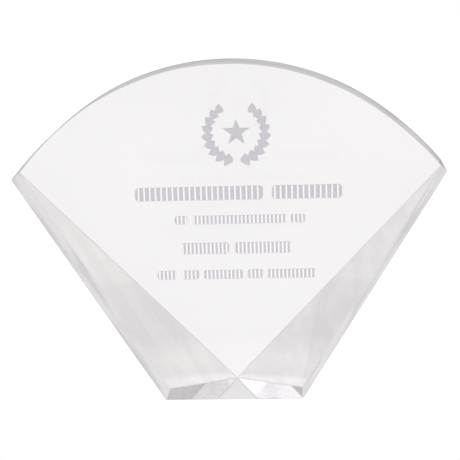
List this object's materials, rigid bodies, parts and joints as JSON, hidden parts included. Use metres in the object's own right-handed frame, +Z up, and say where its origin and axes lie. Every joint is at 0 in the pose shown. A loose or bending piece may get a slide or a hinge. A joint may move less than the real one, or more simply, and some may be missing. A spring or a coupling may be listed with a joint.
{
  "type": "crystal award",
  "caption": "Free-standing fan-shaped crystal award with a leaning faceted back and a star in a laurel wreath engraved over plain word bars.",
  "frame": {"origin": "centre of the bounding box on the resting plane", "axes": "+X across the fan, +Y from the front towards the back, +Z up; the front faces -Y"},
  "size_m": [0.1834, 0.0441, 0.146],
  "materials": {
    "crystal": "polished optical crystal",
    "engraving_fill": "frosted"
  },
  "bodies": {
    "root": {"crystal_block": "crystal", "emblem_star": "engraving_fill", "emblem_sprig_left": "engraving_fill", "emblem_sprig_right": "engraving_fill", "title_bar_1": "engraving_fill", "title_bar_2": "engraving_fill", "upper_bar_1": "engraving_fill", "upper_bar_2": "engraving_fill", "upper_bar_3": "engraving_fill", "name_bar_1": "engraving_fill", "name_bar_2": "engraving_fill", "lower_bar_1": "engraving_fill", "lower_bar_2": "engraving_fill", "lower_bar_3": "engraving_fill", "lower_bar_4": "engraving_fill", "lower_bar_5": "engraving_fill"}
  },
  "joints": []
}
